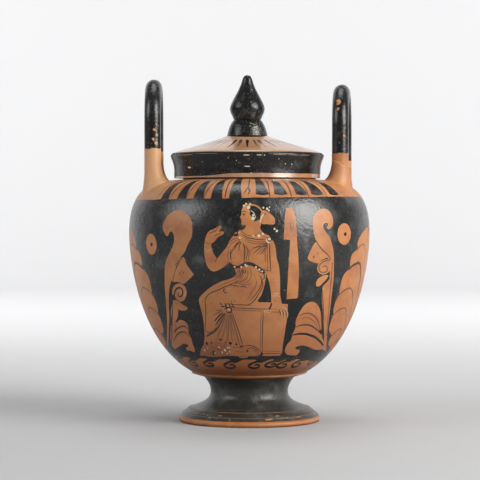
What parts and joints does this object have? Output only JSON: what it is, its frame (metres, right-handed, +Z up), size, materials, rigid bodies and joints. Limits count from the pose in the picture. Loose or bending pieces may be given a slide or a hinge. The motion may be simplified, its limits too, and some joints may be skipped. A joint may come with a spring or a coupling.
{
  "type": "lidded lebes",
  "caption": "Lidded red-figure pottery bowl on a flared foot, with upright loop handles on its shoulder and a deep lid with a pointed knob.",
  "frame": {"origin": "centre of the foot's resting ring, on the surface that the vessel stands on", "axes": "+Z up along the turning axis; the painted front with the seated figure looks along -Y; the handles stand at -X and +X"},
  "size_m": [0.24, 0.24, 0.3452],
  "materials": {
    "vessel": "satin",
    "lid": "satin"
  },
  "bodies": {
    "root": {"vessel": "vessel", "lid": "lid"}
  },
  "joints": []
}
